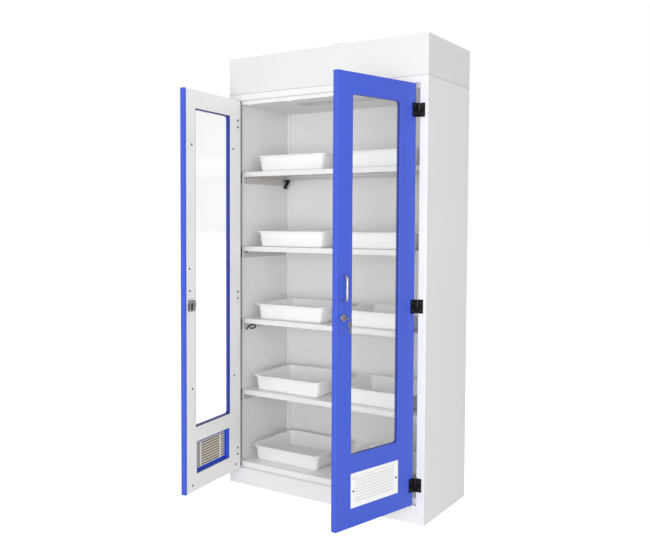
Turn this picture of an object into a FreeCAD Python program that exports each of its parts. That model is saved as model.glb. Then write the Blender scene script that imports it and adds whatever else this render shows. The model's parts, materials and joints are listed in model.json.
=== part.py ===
import FreeCAD, Part
import math
import os

# Ventilated steel storage cabinet for bottles and reagents, with a header box on top, two glazed
# doors that stand open, four shelves and two loose trays on every level.
# Frame: X to the right, Y to the back, Z up. The origin is the centre of the base on the floor.
# All sizes are in millimetres and all angles in degrees.

os.makedirs("parts", exist_ok=True)

V = FreeCAD.Vector
UP = V(0, 0, 1)
CORNER_SIGNS = ((1, 1), (-1, 1), (-1, -1), (1, -1))

# Carcass
WIDTH = 900.0
DEPTH = 400.0
BODY_HEIGHT = 1650.0
HEADER_HEIGHT = 150.0
SHEET = 1.0
STILE = 31.5
STILE_RETURN = 25.0
REAR_FLANGE = 20.0
LINING_FLANGE = 12.0
PLINTH_HEIGHT = 70.0
TOP_RAIL_HEIGHT = 25.0
STOP_LIP = 22.0
STOP_CLEARANCE = 2.0
BEND = 1.4

# Header box and air path
SEAM = 1.5
SEAM_DEPTH = 1.0
HEADER_FLANGE = 35.0
LID_FLANGE = 15.0
SLOT_END_MARGIN = 218.5
SLOT_WIDTH = 100.0
SLOT_CORNER = 20.0
SLOT_FROM_FRONT = 160.0
DUCT_RADIUS = 55.0
DUCT_WALL = 1.5
DUCT_LENGTH = 40.0

# Small stop tabs on the lip above the doors
TAB_WIDTH = 12.0
TAB_DROP = 4.0
TAB_RISE = 8.0
TAB_THICKNESS = 1.7
TAB_SIDE_MARGIN = 61.5
TAB_SPACING = 196.0

# Shelves, each a little above an even spacing from deck to ceiling, and the angle rails that carry them
SHELF_LIFTS = (0.4, 4.8, 10.2, 23.6)
SHELF_SETBACK = 46.0
SHELF_FOLD = 20.0
SHELF_RETURN = 12.0
SHELF_SIDE_GAP = 1.0
SHELF_REAR_GAP = 1.0
RAIL_HEIGHT = 28.0
RAIL_WIDTH = 18.0
RAIL_SHEET = 1.2
RAIL_SETBACK = 14.0
CLIP_WIDTH = 14.0
CLIP_THICKNESS = 3.0
CLIP_DROP = 40.0
CLIP_REACH = 26.0
CLIP_FROM_BACK = 34.0

# Loose trays
TRAY_SIDE_GAP = 41.5
TRAY_CENTRE_GAP = 33.0
TRAY_REAR_GAP = 30.0
TRAY_HEIGHT = 66.0
TRAY_WALL = 2.5
TRAY_RIM = 8.0
TRAY_LIP = 6.0
TRAY_TAPER = 16.0
TRAY_CORNER = 16.0
TRAY_INNER_CHAMFER = 8.0
TRAY_SETBACK = 58.0
TRAY_SHIFTS = (-8.0, -6.0, 6.0, 10.0, 10.0)

# Doors
DOOR_THICKNESS = 20.0
DOOR_CLEARANCE = 4.0
CENTRE_GAP = 4.0
HINGE_GAP = 10.0
LEFT_DOOR_ANGLE = 84.0
RIGHT_DOOR_ANGLE = 76.0
WINDOW_RADIUS = 12.0
DOOR_RETURN = 10.0
WINDOW_FREE_MARGIN = 74.5
WINDOW_HINGE_MARGIN = 85.0
WINDOW_TOP_MARGIN = 72.0
WINDOW_LOUVRE_GAP = 64.0
WINDOW_REVEAL = 5.0
GLASS_THICKNESS = 4.0
GLASS_MARGIN = 11.0
BEAD_FLANGE = 10.0
LINER_MARGIN = 3.0

# Louvre grilles
LOUVRE_HEIGHT = 120.0
LOUVRE_BOTTOM_MARGIN = 67.0
LOUVRE_BORDER = 12.0
LOUVRE_SIDE_BORDER = 21.0
LOUVRE_PLATE = 2.0
LOUVRE_SLEEVE = 2.0
LOUVRE_DEPTH = 4.0
LOUVRE_CLEARANCE = 1.0
BLADE_COUNT = 9
BLADE_THICKNESS = 1.4
BLADE_SLOPE = 60.0
LOUVRE_BAR = 6.0
LOUVRE_BAR_INSET = 52.0
VENT_SIDE_INSET = 5.5

# Bow handles
HANDLE_FREE_MARGIN = 31.0
HANDLE_HEIGHT = 898.0
HANDLE_SPACING = 84.0
HANDLE_BAR = 7.0
HANDLE_WIDTH = 9.0
HANDLE_STAND = 20.5
HANDLE_BEND = 12.0

# Hinges
HINGE_BOTTOM_INSET = 76.0
HINGE_TOP_INSET = 96.0
HINGE_MIDDLE_DROP = 25.5
HINGE_LENGTH = 50.0
HINGE_REACH = 25.0
HINGE_LEAF = 4.0
HINGE_WEB = 6.0
KNUCKLE_RADIUS = 4.5
KNUCKLE_LIFT = 1.0
KNUCKLE_CLEARANCE = 0.4
LEAF_CLEARANCE = 0.5
PIN_RADIUS = 2.0
PIN_CLEARANCE = 0.1

# Cylinder lock, keeper and keys
LOCK_HEIGHT = 800.0
ROSETTE_RADIUS = 12.0
ROSETTE_HEIGHT = 4.0
BARREL_WIDTH = 16.0
BARREL_CLEARANCE = 0.3
NUT_WIDTH = 25.0
NUT_HEIGHT = 5.0
PLUG_RADIUS = 6.0
PLUG_CLEARANCE = 0.1
PLUG_FRONT = 1.0
CAM_LENGTH = 70.0
CAM_WIDTH = 14.0
CAM_THICKNESS = 2.5
KEY_SLOT_DEPTH = 14.0
KEY_CLEARANCE = 0.2
KEY_BLADE = 8.0
KEY_THICKNESS = 1.6
KEY_NECK = 9.0
KEY_BOW_RADIUS = 9.0
KEY_HOLE_RADIUS = 3.4
KEY_HOLE_EDGE = 5.0
RING_RADIUS = 8.0
RING_WIRE = 0.8
RING_SIDES = 16
RING_DROP = 5.0
RING_SEAT = 0.4
SPARE_BLADE_LENGTH = 24.0
SPARE_HANG = 0.3
KEEPER_WIDTH = 36.0
KEEPER_HEIGHT = 42.0
KEEPER_DEPTH = 15.0
KEEPER_FREE_MARGIN = 17.0
KEEPER_WALL = 3.0
KEEPER_MOUTH = 14.0
CAM_CLEARANCE = 2.5

# Places that follow from the sizes above
HALF = WIDTH / 2
FRONT = -DEPTH / 2
BACK = DEPTH / 2
TOP = BODY_HEIGHT + HEADER_HEIGHT
OPENING = HALF - STILE
OPENING_TOP = BODY_HEIGHT - TOP_RAIL_HEIGHT
BACK_FACE = BACK - 2 * SHEET
REAR = BACK_FACE - SHEET
STOP = FRONT + DOOR_THICKNESS + STOP_CLEARANCE
DECK_TOP = PLINTH_HEIGHT + STOP_LIP
DOOR_BOTTOM = PLINTH_HEIGHT + DOOR_CLEARANCE
DOOR_TOP = OPENING_TOP - DOOR_CLEARANCE
CEILING = DOOR_TOP - STOP_LIP / 2
DOOR_HINGE_EDGE = OPENING - HINGE_GAP
DOOR_FREE_EDGE = CENTRE_GAP / 2
AXIS_X = OPENING - HINGE_GAP / 2
AXIS_Y = FRONT - KNUCKLE_LIFT - KNUCKLE_RADIUS
LINER_FRONT = FRONT + DOOR_THICKNESS - SHEET
GLASS_FRONT = FRONT + WINDOW_REVEAL
BEAD_FRONT = GLASS_FRONT + GLASS_THICKNESS
WINDOW_WIDTH = DOOR_HINGE_EDGE - DOOR_FREE_EDGE - WINDOW_FREE_MARGIN - WINDOW_HINGE_MARGIN
WINDOW_BOTTOM = DOOR_BOTTOM + LOUVRE_BOTTOM_MARGIN + LOUVRE_HEIGHT + WINDOW_LOUVRE_GAP
WINDOW_HEIGHT = DOOR_TOP - WINDOW_TOP_MARGIN - WINDOW_BOTTOM
WINDOW_X = DOOR_FREE_EDGE + WINDOW_FREE_MARGIN + WINDOW_WIDTH / 2
WINDOW_Z = WINDOW_BOTTOM + WINDOW_HEIGHT / 2
LOUVRE_WIDTH = WINDOW_WIDTH
LOUVRE_Z = DOOR_BOTTOM + LOUVRE_BOTTOM_MARGIN + LOUVRE_HEIGHT / 2
GRILLE_WIDTH = LOUVRE_WIDTH - 2 * LOUVRE_SIDE_BORDER
GRILLE_HEIGHT = LOUVRE_HEIGHT - 2 * LOUVRE_BORDER
SLEEVE_ROOM = 2 * (LOUVRE_SLEEVE + LOUVRE_CLEARANCE)
VENT_WIDTH = LOUVRE_WIDTH - 2 * VENT_SIDE_INSET
VENT_HEIGHT = LOUVRE_HEIGHT
HANDLE_X = DOOR_FREE_EDGE + HANDLE_FREE_MARGIN
NUT_FRONT = FRONT + DOOR_THICKNESS
CAM_FRONT = NUT_FRONT + NUT_HEIGHT + KNUCKLE_CLEARANCE
BOW_CENTRE = FRONT - ROSETTE_HEIGHT - PLUG_FRONT - KEY_NECK - KEY_BOW_RADIUS
KEY_HOLE_OFFSET = KEY_BOW_RADIUS - KEY_HOLE_EDGE
HINGE_LOW = DOOR_BOTTOM + HINGE_BOTTOM_INSET
HINGE_HIGH = DOOR_TOP - HINGE_TOP_INSET
HINGE_HEIGHTS = (HINGE_LOW, (HINGE_LOW + HINGE_HIGH) / 2 - HINGE_MIDDLE_DROP, HINGE_HIGH)
SHELF_PITCH = (CEILING - DECK_TOP) / (len(SHELF_LIFTS) + 1)
SHELF_TOPS = tuple(DECK_TOP + row * SHELF_PITCH + lift for row, lift in enumerate(SHELF_LIFTS, 1))
LEVELS = (DECK_TOP,) + SHELF_TOPS
SLOT_LENGTH = 2 * (OPENING - SLOT_END_MARGIN)
TRAY_WIDTH = OPENING - TRAY_SIDE_GAP - TRAY_CENTRE_GAP
TRAY_DEPTH = DEPTH - TRAY_SETBACK - TRAY_REAR_GAP
TRAY_CENTRE = TRAY_CENTRE_GAP + TRAY_WIDTH / 2


def save(name, shape):
    shape.exportStep(f"parts/{name}.step")


def block(x0, x1, y0, y1, z0, z1):
    return Part.makeBox(x1 - x0, y1 - y0, z1 - z0, V(x0, y0, z0))


def cylinder(radius, start, direction, length):
    return Part.makeCylinder(radius, length, start, direction)


def plan_prism(points, z0, z1):
    # A closed outline in plan, raised from z0 to z1.
    corners = [V(x, y, z0) for x, y in points]
    return Part.Face(Part.makePolygon(corners + corners[:1])).extrude(UP * (z1 - z0))


def section_prism(points, x0, x1):
    # A closed outline in the Y-Z section, run from x0 to x1.
    corners = [V(x0, y, z) for y, z in points]
    return Part.Face(Part.makePolygon(corners + corners[:1])).extrude(V(x1 - x0, 0, 0))


def rounded_wire(width, height, radius):
    # A rectangle with round corners, centred on the origin in plan.
    x, y = width / 2, height / 2
    diagonal = radius * (1 - math.sqrt(0.5))
    edges = []
    for sx, sy in CORNER_SIGNS:
        start, end = V(sx * x, sy * (y - radius), 0), V(sx * (x - radius), sy * y, 0)
        middle = V(sx * (x - diagonal), sy * (y - diagonal), 0)
        if sx * sy < 0:
            start, end = end, start
        edges.append(Part.Arc(start, middle, end).toShape())
    outline = []
    for edge, following in zip(edges, edges[1:] + edges[:1]):
        outline += [edge, Part.makeLine(edge.Vertexes[-1].Point, following.Vertexes[0].Point)]
    return Part.Wire(outline)


def panel_prism(x, z, width, height, radius, y0, y1):
    # A rounded rectangle in the plane of the front, run from y0 to y1.
    wire = rounded_wire(width, height, radius)
    wire.rotate(V(0, 0, 0), V(1, 0, 0), 90)
    wire.translate(V(x, y0, z))
    return Part.Face(wire).extrude(V(0, y1 - y0, 0))


def panel_block(x, z, width, height, y0, y1):
    return block(x - width / 2, x + width / 2, y0, y1, z - height / 2, z + height / 2)


def window_frame(wall, y0, y1):
    # A frame round the window's rounded opening, square outside.
    outer = panel_block(WINDOW_X, WINDOW_Z, WINDOW_WIDTH + 2 * wall, WINDOW_HEIGHT + 2 * wall, y0, y1)
    return outer.cut(panel_prism(WINDOW_X, WINDOW_Z, WINDOW_WIDTH, WINDOW_HEIGHT, WINDOW_RADIUS, y0, y1))


def square_ring(x, z, width, height, wall, y0, y1):
    # A tube of rectangular outline, with its wall outside the given opening.
    outer = panel_block(x, z, width + 2 * wall, height + 2 * wall, y0, y1)
    return outer.cut(panel_block(x, z, width, height, y0, y1))


def upright_edges(shape, x, y):
    return [
        edge
        for edge in shape.Edges
        if all(abs(v.X - x) < 0.01 and abs(v.Y - y) < 0.01 for v in edge.Vertexes)
    ]


def rounded_corners(shape):
    # The two front uprights of the cabinet, bent instead of sharp.
    return shape.makeFillet(BEND, upright_edges(shape, -HALF, FRONT) + upright_edges(shape, HALF, FRONT))


def mirrored(shape):
    return shape.mirror(V(0, 0, 0), V(1, 0, 0))


def hung(shape, side):
    # A door piece drawn shut on the right, put on its side and swung open about the hinge axis.
    placed = shape if side > 0 else mirrored(shape)
    angle = RIGHT_DOOR_ANGLE if side > 0 else -LEFT_DOOR_ANGLE
    placed.rotate(V(side * AXIS_X, AXIS_Y, 0), UP, angle)
    return placed


def side_skin():
    inner = HALF - SHEET
    stile = OPENING + SHEET
    profile = (
        (HALF, FRONT),
        (HALF, BACK),
        (HALF - REAR_FLANGE, BACK),
        (HALF - REAR_FLANGE, BACK - SHEET),
        (inner, BACK - SHEET),
        (inner, FRONT + SHEET),
        (stile, FRONT + SHEET),
        (stile, FRONT + STILE_RETURN),
        (OPENING, FRONT + STILE_RETURN),
        (OPENING, FRONT),
    )
    skin = plan_prism(profile, 0, BODY_HEIGHT)
    return skin.makeFillet(BEND, upright_edges(skin, HALF, FRONT) + upright_edges(skin, OPENING, FRONT))


def side_lining():
    profile = (
        (OPENING, FRONT + STILE_RETURN),
        (OPENING + SHEET, FRONT + STILE_RETURN),
        (OPENING + SHEET, BACK_FACE),
        (OPENING - LINING_FLANGE, BACK_FACE),
        (OPENING - LINING_FLANGE, REAR),
        (OPENING, REAR),
    )
    return plan_prism(profile, SHEET, BODY_HEIGHT)


def back_panel():
    return block(SHEET - HALF, HALF - SHEET, BACK_FACE, BACK - SHEET, SHEET, BODY_HEIGHT)


def base_pan():
    inner = HALF - SHEET
    step = FRONT + STILE_RETURN
    outline = (
        (-OPENING, FRONT + SHEET),
        (OPENING, FRONT + SHEET),
        (OPENING, step),
        (inner, step),
        (inner, BACK - SHEET),
        (-inner, BACK - SHEET),
        (-inner, step),
        (-OPENING, step),
    )
    pan = plan_prism(outline, 0, SHEET)
    hem = block(-OPENING, OPENING, FRONT + SHEET, FRONT + 2 * SHEET, SHEET, STOP_LIP)
    return pan.fuse(hem).removeSplitter()


def plinth_front():
    ledge = STOP + SHEET
    profile = (
        (FRONT, 0),
        (FRONT, PLINTH_HEIGHT),
        (ledge, PLINTH_HEIGHT),
        (ledge, PLINTH_HEIGHT - SHEET),
        (FRONT + SHEET, PLINTH_HEIGHT - SHEET),
        (FRONT + SHEET, 0),
    )
    return section_prism(profile, -OPENING, OPENING)


def floor_deck():
    profile = (
        (STOP, PLINTH_HEIGHT),
        (STOP, DECK_TOP),
        (REAR, DECK_TOP),
        (REAR, DECK_TOP - STOP_LIP),
        (REAR - SHEET, DECK_TOP - STOP_LIP),
        (REAR - SHEET, DECK_TOP - SHEET),
        (STOP + SHEET, DECK_TOP - SHEET),
        (STOP + SHEET, PLINTH_HEIGHT),
    )
    return section_prism(profile, -OPENING, OPENING)


def top_rail():
    profile = (
        (FRONT, OPENING_TOP),
        (FRONT, BODY_HEIGHT),
        (STOP, BODY_HEIGHT),
        (STOP, BODY_HEIGHT - SHEET),
        (FRONT + SHEET, BODY_HEIGHT - SHEET),
        (FRONT + SHEET, OPENING_TOP + SHEET),
        (STOP, OPENING_TOP + SHEET),
        (STOP, OPENING_TOP),
    )
    return section_prism(profile, -OPENING, OPENING)


def ceiling_panel():
    lip_top = CEILING + STOP_LIP
    profile = (
        (STOP, CEILING),
        (STOP, lip_top),
        (STOP + SHEET, lip_top),
        (STOP + SHEET, CEILING + SHEET),
        (REAR - SHEET, CEILING + SHEET),
        (REAR - SHEET, lip_top),
        (REAR, lip_top),
        (REAR, CEILING),
    )
    panel = section_prism(profile, -OPENING, OPENING)
    slot = Part.Face(rounded_wire(SLOT_LENGTH, SLOT_WIDTH, SLOT_CORNER)).extrude(UP * 2 * SHEET)
    slot.translate(V(0, FRONT + SLOT_FROM_FRONT, CEILING - SHEET / 2))
    panel = panel.cut(slot)
    outer_tab = OPENING - TAB_SIDE_MARGIN
    inner_tab = outer_tab - TAB_SPACING
    height = TAB_RISE + TAB_DROP
    z = CEILING - TAB_DROP + height / 2
    for x in (-outer_tab, -inner_tab, inner_tab, outer_tab):
        panel = panel.fuse(panel_block(x, z, TAB_WIDTH, height, STOP - TAB_THICKNESS, STOP))
    return panel.removeSplitter()


def header_shell():
    foot = BODY_HEIGHT + SEAM
    walls = rounded_corners(block(-HALF, HALF, FRONT, BACK, foot, TOP))
    walls = walls.cut(block(SHEET - HALF, HALF - SHEET, FRONT + SHEET, BACK - SHEET, foot, TOP))
    inset = HALF - SEAM_DEPTH
    flange = block(-inset, inset, FRONT + SEAM_DEPTH, BACK - SEAM_DEPTH, BODY_HEIGHT, foot + SHEET)
    hole_x, hole_y = HALF - HEADER_FLANGE, BACK - HEADER_FLANGE
    flange = flange.cut(block(-hole_x, hole_x, -hole_y, hole_y, BODY_HEIGHT, foot + SHEET))
    return walls.fuse(flange).removeSplitter()


def header_top():
    # The lid let in between the walls, with its turned-down edge and the duct spigot drawn up from it.
    x, y = HALF - SHEET, BACK - SHEET
    low, high = TOP - LID_FLANGE, TOP - SHEET
    lid = block(-x, x, -y, y, low, TOP).cut(block(SHEET - x, x - SHEET, SHEET - y, y - SHEET, low, high))
    base = V(0, 0, high)
    spigot = cylinder(DUCT_RADIUS, base, UP, DUCT_LENGTH + SHEET)
    bore = cylinder(DUCT_RADIUS - DUCT_WALL, base, UP, DUCT_LENGTH + SHEET)
    return lid.fuse(spigot).cut(bore).removeSplitter()


def shelf(top):
    x = OPENING - SHELF_SIDE_GAP
    y0, y1 = FRONT + SHELF_SETBACK, REAR - SHELF_REAR_GAP
    bottom = top - SHELF_FOLD
    pan = block(-x, x, y0, y1, bottom, top)
    nose = [e for e in pan.Edges if all(abs(v.Y - y0) < 0.01 and abs(v.Z - top) < 0.01 for v in e.Vertexes)]
    pan = pan.makeFillet(BEND, nose)
    hollow = block(SHEET - x, x - SHEET, y0 + SHEET, y1 - SHEET, bottom + SHEET, top - SHEET)
    mouth = block(SHEET - x, x - SHEET, y0 + SHELF_RETURN, y1 - SHELF_RETURN, bottom, bottom + SHEET)
    return pan.cut(hollow).cut(mouth)


def shelf_rail(top):
    seat = top - SHELF_FOLD
    y0, y1 = FRONT + SHELF_SETBACK + RAIL_SETBACK, REAR - RAIL_SETBACK
    upright = block(OPENING - RAIL_SHEET, OPENING, y0, y1, seat - RAIL_HEIGHT, seat)
    ledge = block(OPENING - RAIL_WIDTH, OPENING, y0, y1, seat - RAIL_SHEET, seat)
    return upright.fuse(ledge).removeSplitter()


def shelf_clip():
    # A black spring clip on the rear of the top left rail: a foot under the ledge, a slanting arm, a toe.
    seat = SHELF_TOPS[-1] - SHELF_FOLD - RAIL_SHEET
    x0 = RAIL_SHEET - OPENING
    y = REAR - CLIP_FROM_BACK
    arm = CLIP_THICKNESS * 2
    outline = (
        (x0, seat),
        (x0 + CLIP_REACH, seat),
        (x0 + CLIP_REACH, seat - arm),
        (x0 + arm, seat - CLIP_DROP + CLIP_THICKNESS),
        (x0 + CLIP_REACH / 2, seat - CLIP_DROP + CLIP_THICKNESS),
        (x0 + CLIP_REACH / 2, seat - CLIP_DROP),
        (x0, seat - CLIP_DROP),
        (x0, seat - CLIP_DROP + arm),
        (x0 + CLIP_REACH - 2 * arm, seat - arm),
        (x0, seat - arm),
    )
    corners = [V(x, y, z) for x, z in outline]
    return Part.Face(Part.makePolygon(corners + corners[:1])).extrude(V(0, CLIP_WIDTH, 0))


def tapered_box(width, depth, z0, z1):
    # A block that narrows towards its base on all four sides.
    x, y = width / 2, depth / 2
    x_base, y_base = x - TRAY_TAPER, y - TRAY_TAPER
    box = Part.makeWedge(-x_base, 0, -y_base, -y, -x, x_base, z1 - z0, y_base, y, x)
    box.rotate(V(0, 0, 0), V(1, 0, 0), 90)
    box.translate(UP * z0)
    return box


def corner_edges(box):
    return [e for e in box.Edges if abs(e.Vertexes[0].Z - e.Vertexes[-1].Z) > TRAY_WALL]


def tray():
    # Round corners outside and on the rim, flat slanting ones inside.
    width, depth = TRAY_WIDTH - 2 * TRAY_RIM, TRAY_DEPTH - 2 * TRAY_RIM
    outer = tapered_box(width, depth, 0, TRAY_HEIGHT)
    outer = outer.makeFillet(TRAY_CORNER, corner_edges(outer))
    inner = tapered_box(width - 2 * TRAY_WALL, depth - 2 * TRAY_WALL, TRAY_WALL, TRAY_HEIGHT)
    inner = inner.makeChamfer(TRAY_INNER_CHAMFER, corner_edges(inner))
    rim = Part.Face(rounded_wire(TRAY_WIDTH, TRAY_DEPTH, TRAY_CORNER + TRAY_RIM)).extrude(UP * TRAY_LIP)
    rim.translate(UP * (TRAY_HEIGHT - TRAY_LIP))
    return outer.fuse(rim).cut(inner).removeSplitter()


def door_pan():
    pan = block(DOOR_FREE_EDGE, DOOR_HINGE_EDGE, FRONT, LINER_FRONT, DOOR_BOTTOM, DOOR_TOP)
    pan = pan.makeFillet(BEND, upright_edges(pan, DOOR_FREE_EDGE, FRONT))
    pan = pan.cut(
        block(
            DOOR_FREE_EDGE + SHEET,
            DOOR_HINGE_EDGE - SHEET,
            FRONT + SHEET,
            LINER_FRONT,
            DOOR_BOTTOM + SHEET,
            DOOR_TOP - SHEET,
        )
    )
    face = FRONT + SHEET
    pan = pan.cut(panel_prism(WINDOW_X, WINDOW_Z, WINDOW_WIDTH, WINDOW_HEIGHT, WINDOW_RADIUS, FRONT, face))
    pan = pan.fuse(window_frame(SHEET, face, GLASS_FRONT))
    hole_width, hole_height = GRILLE_WIDTH + SLEEVE_ROOM, GRILLE_HEIGHT + SLEEVE_ROOM
    pan = pan.cut(panel_block(WINDOW_X, LOUVRE_Z, hole_width, hole_height, FRONT, face))
    collar = square_ring(WINDOW_X, LOUVRE_Z, VENT_WIDTH, VENT_HEIGHT, SHEET, face, LINER_FRONT)
    lip_end = DOOR_FREE_EDGE + DOOR_RETURN
    lip = block(DOOR_FREE_EDGE, lip_end, LINER_FRONT, NUT_FRONT, DOOR_BOTTOM, DOOR_TOP)
    return pan.fuse(collar).fuse(lip).removeSplitter()


def door_liner():
    start = DOOR_FREE_EDGE + DOOR_RETURN
    liner = block(start, DOOR_HINGE_EDGE, LINER_FRONT, NUT_FRONT, DOOR_BOTTOM, DOOR_TOP)
    more = 2 * LINER_MARGIN
    for z, width, height in ((WINDOW_Z, WINDOW_WIDTH, WINDOW_HEIGHT), (LOUVRE_Z, VENT_WIDTH, VENT_HEIGHT)):
        cutout = panel_block(WINDOW_X, z, width + more, height + more, LINER_FRONT, NUT_FRONT)
        liner = liner.cut(cutout)
    return liner


def glass():
    more = 2 * GLASS_MARGIN
    return panel_block(WINDOW_X, WINDOW_Z, WINDOW_WIDTH + more, WINDOW_HEIGHT + more, GLASS_FRONT, BEAD_FRONT)


def glazing_bead():
    wall = window_frame(SHEET, BEAD_FRONT, LINER_FRONT)
    return wall.fuse(window_frame(BEAD_FLANGE, BEAD_FRONT, BEAD_FRONT + SHEET)).removeSplitter()


def louvre():
    width, height = GRILLE_WIDTH, GRILLE_HEIGHT
    face = FRONT - LOUVRE_PLATE
    rear = FRONT + LOUVRE_DEPTH
    plate = panel_block(WINDOW_X, LOUVRE_Z, LOUVRE_WIDTH, LOUVRE_HEIGHT, face, FRONT)
    plate = plate.cut(panel_block(WINDOW_X, LOUVRE_Z, width, height, face, FRONT))
    grille = plate.fuse(square_ring(WINDOW_X, LOUVRE_Z, width, height, LOUVRE_SLEEVE, face, rear))
    pitch = height / BLADE_COUNT
    run = rear - face
    rise = run * math.tan(math.radians(BLADE_SLOPE))
    thick = BLADE_THICKNESS / math.cos(math.radians(BLADE_SLOPE))
    half = width / 2 + LOUVRE_SLEEVE / 2
    opening = panel_block(WINDOW_X, LOUVRE_Z, width + LOUVRE_SLEEVE, height + LOUVRE_SLEEVE, face, rear)
    blades = []
    for row in range(BLADE_COUNT):
        z = LOUVRE_Z - height / 2 + row * pitch
        outline = ((face, z), (face, z + thick), (rear, z + thick + rise), (rear, z + rise))
        blades.append(section_prism(outline, WINDOW_X - half, WINDOW_X + half).common(opening))
    bars = []
    bar_height = height + 2 * LOUVRE_SLEEVE
    bar_place = LOUVRE_WIDTH / 2 - LOUVRE_BAR_INSET
    for x in (WINDOW_X - bar_place, WINDOW_X + bar_place):
        bars.append(panel_block(x, LOUVRE_Z, LOUVRE_BAR, bar_height, rear, rear + LOUVRE_PLATE))
    solids = [solid for piece in blades + bars for solid in piece.Solids]
    return grille.multiFuse(solids).removeSplitter()


def handle():
    # A bent flat bar: its outline seen from the side, run across its width.
    y0, y1 = FRONT - HANDLE_STAND, FRONT
    low, high = HANDLE_HEIGHT - HANDLE_SPACING / 2, HANDLE_HEIGHT + HANDLE_SPACING / 2
    half = HANDLE_BAR / 2
    x0, x1 = HANDLE_X - HANDLE_WIDTH / 2, HANDLE_X + HANDLE_WIDTH / 2
    bar = block(x0, x1, y0 - half, y1, low - half, high + half)
    bar = bar.cut(block(x0, x1, y0 + half, y1, low + half, high - half))
    bends = {y0 - half: HANDLE_BEND + half, y0 + half: HANDLE_BEND - half}
    for y, radius in bends.items():
        edges = [e for e in bar.Edges if all(abs(v.Y - y) < 0.01 for v in e.Vertexes)]
        bar = bar.makeFillet(radius, [e for e in edges if abs(e.Vertexes[0].X - e.Vertexes[-1].X) > 1])
    return bar


def hinge_leaf(z, side):
    # The plate of one leaf, to the right of the axis for side 1 and to the left for side -1.
    near = KNUCKLE_RADIUS + LEAF_CLEARANCE
    x = AXIS_X + side * (near + HINGE_REACH) / 2
    half = (HINGE_REACH - near) / 2
    return block(x - half, x + half, FRONT - HINGE_LEAF, FRONT, z - HINGE_LENGTH / 2, z + HINGE_LENGTH / 2)


def knuckle(z0, z1, side):
    # A barrel on the axis with the web that ties it to its own leaf.
    barrel = cylinder(KNUCKLE_RADIUS, V(AXIS_X, AXIS_Y, z0), UP, z1 - z0)
    reach = AXIS_X + side * (KNUCKLE_RADIUS + HINGE_WEB)
    x0, x1 = min(AXIS_X, reach), max(AXIS_X, reach)
    return barrel.fuse(block(x0, x1, FRONT - HINGE_LEAF, FRONT - KNUCKLE_LIFT, z0, z1))


def hinge_frame(z):
    # The lower knuckle, with the pin that stands up out of it for the lift-off leaf.
    low, high = z - HINGE_LENGTH / 2, z + HINGE_LENGTH / 2
    leaf = hinge_leaf(z, 1).fuse(knuckle(low, z, 1))
    return leaf.fuse(cylinder(PIN_RADIUS, V(AXIS_X, AXIS_Y, z), UP, high - z)).removeSplitter()


def hinge_door(z):
    # The upper knuckle, bored through for the pin.
    low, high = z + KNUCKLE_CLEARANCE, z + HINGE_LENGTH / 2
    bore = cylinder(PIN_RADIUS + PIN_CLEARANCE, V(AXIS_X, AXIS_Y, low), UP, high - low)
    return hinge_leaf(z, -1).fuse(knuckle(low, high, -1)).cut(bore).removeSplitter()


def lock_cylinder():
    # A round rosette, a square barrel through the door and a square nut behind it.
    start = V(HANDLE_X, FRONT - ROSETTE_HEIGHT, LOCK_HEIGHT)
    end = NUT_FRONT + NUT_HEIGHT
    inward = V(0, 1, 0)
    shell = cylinder(ROSETTE_RADIUS, start, inward, ROSETTE_HEIGHT)
    shell = shell.fuse(panel_block(HANDLE_X, LOCK_HEIGHT, BARREL_WIDTH, BARREL_WIDTH, FRONT, NUT_FRONT))
    shell = shell.fuse(panel_block(HANDLE_X, LOCK_HEIGHT, NUT_WIDTH, NUT_WIDTH, NUT_FRONT, end))
    return shell.cut(cylinder(PLUG_RADIUS + PLUG_CLEARANCE, start, inward, end - start.y)).removeSplitter()


def lock_plug():
    front = FRONT - ROSETTE_HEIGHT - PLUG_FRONT
    plug = cylinder(PLUG_RADIUS, V(HANDLE_X, front, LOCK_HEIGHT), V(0, 1, 0), CAM_FRONT - front)
    x = KEY_BLADE / 2 + KEY_CLEARANCE
    z = KEY_THICKNESS / 2 + KEY_CLEARANCE
    slot = block(HANDLE_X - x, HANDLE_X + x, front, front + KEY_SLOT_DEPTH, LOCK_HEIGHT - z, LOCK_HEIGHT + z)
    half = CAM_WIDTH / 2
    cam_z = LOCK_HEIGHT + half - CAM_LENGTH / 2
    cam = panel_block(HANDLE_X, cam_z, CAM_WIDTH, CAM_LENGTH, CAM_FRONT, CAM_FRONT + CAM_THICKNESS)
    return plug.cut(slot).fuse(cam).removeSplitter()


def eight_sided(y, radius):
    # A plate as thick as a key, with eight flat sides at this distance from its middle.
    cut = radius * math.tan(math.radians(22.5))
    outline = []
    for sx, sy in CORNER_SIGNS:
        pair = [(sx * radius, y + sy * cut), (sx * cut, y + sy * radius)]
        outline += pair if sx * sy > 0 else pair[::-1]
    return plan_prism(outline, 0, KEY_THICKNESS)


def key_head(end):
    # The bow of a key, flat in plan, with its hole towards this end of Y.
    return eight_sided(0, KEY_BOW_RADIUS).cut(eight_sided(end * KEY_HOLE_OFFSET, KEY_HOLE_RADIUS))


def key():
    front = FRONT - ROSETTE_HEIGHT - PLUG_FRONT
    z0 = LOCK_HEIGHT - KEY_THICKNESS / 2
    bow = key_head(-1)
    bow.translate(V(HANDLE_X, BOW_CENTRE, z0))
    half = KEY_BLADE / 2
    blade_end = front + KEY_SLOT_DEPTH - KEY_CLEARANCE
    blade = block(HANDLE_X - half, HANDLE_X + half, BOW_CENTRE, blade_end, z0, z0 + KEY_THICKNESS)
    return bow.fuse(blade).removeSplitter()


def ring_disc(centre, radius):
    # A disc with many flat sides that stands across the door.
    points = []
    for i in range(RING_SIDES):
        angle = 2 * math.pi * i / RING_SIDES
        points.append((centre.y + radius * math.cos(angle), centre.z + radius * math.sin(angle)))
    return section_prism(points, centre.x - RING_WIRE, centre.x + RING_WIRE)


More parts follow.
